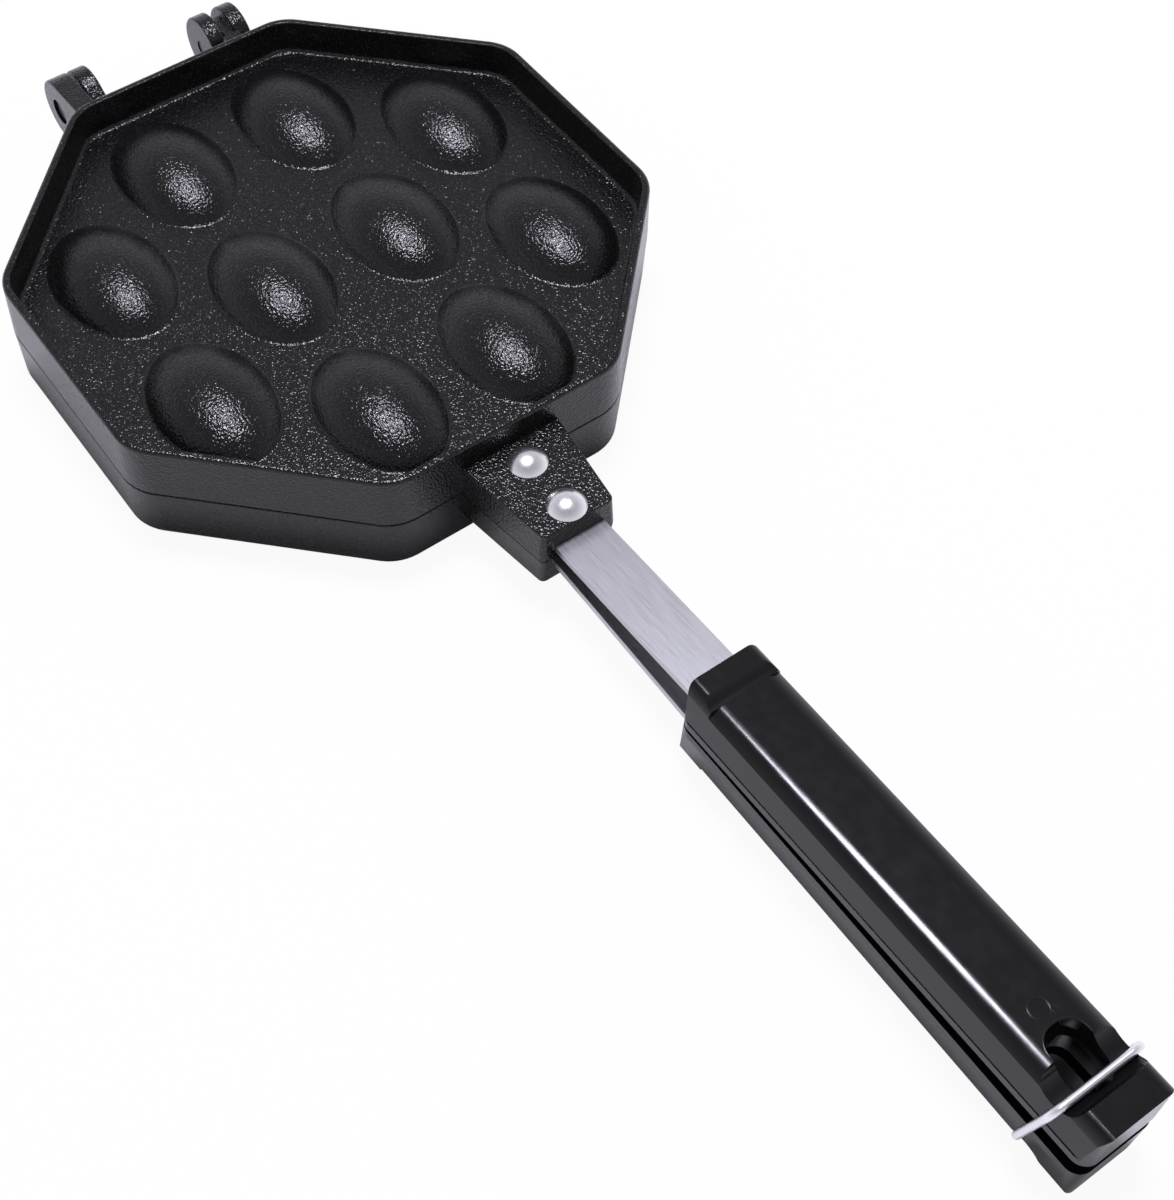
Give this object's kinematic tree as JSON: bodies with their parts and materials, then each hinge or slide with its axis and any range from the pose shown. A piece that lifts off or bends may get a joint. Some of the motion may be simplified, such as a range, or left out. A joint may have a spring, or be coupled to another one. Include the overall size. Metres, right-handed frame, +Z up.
{
  "type": "egg waffle pan",
  "caption": "Octagonal cast pan in hinged halves with egg-shaped cups, strip handles riveted to lugs, moulded grips with hanging slots and a wire bail that locks the grips together.",
  "frame": {"origin": "under the middle of the closed pan's whole length, at the height of the lower rim that it rests on", "axes": "+X from the hinge to the handle end, +Z up, +Y to the left of the way from hinge to handles"},
  "size_m": [0.4222, 0.1708, 0.0343],
  "materials": {
    "coated_pan": "cast aluminium under a satin black non-stick coat with a fine light speckle",
    "pin_steel": "plain turned steel",
    "strip_steel": "satin rolled steel strip",
    "rivet_metal": "bright aluminium, domed heads",
    "grip_plastic": "black phenolic moulding, smooth gloss",
    "bail_wire": "bright plated steel wire"
  },
  "bodies": {
    "lower_half": {"lower_pan": "coated_pan", "hinge_pin_left": "pin_steel", "hinge_pin_right": "pin_steel", "lower_handle_strip": "strip_steel", "lower_rivets": "rivet_metal", "lower_grip": "grip_plastic", "lower_grip_pin": "grip_plastic"},
    "upper_half": {"upper_pan": "coated_pan", "upper_handle_strip": "strip_steel", "upper_rivets": "rivet_metal", "upper_grip": "grip_plastic", "upper_grip_pin": "grip_plastic"},
    "bail": {"lock_bail": "bail_wire"}
  },
  "joints": [
    {"name": "pan_hinge", "type": "hinge", "parent": "lower_half", "child": "upper_half", "pos_m": [-0.20134, 0, 0.01715], "axis": [0, -1, 0], "range_deg": [0, 180]},
    {"name": "bail_swing", "type": "hinge", "parent": "lower_half", "child": "bail", "pos_m": [0.19564, 0, 0.00826], "axis": [0, 1, 0], "range_deg": [0, 100]}
  ],
  "couplings": [
    {"joint": "bail_swing", "follows": "pan_hinge", "ratio": 0.55}
  ]
}
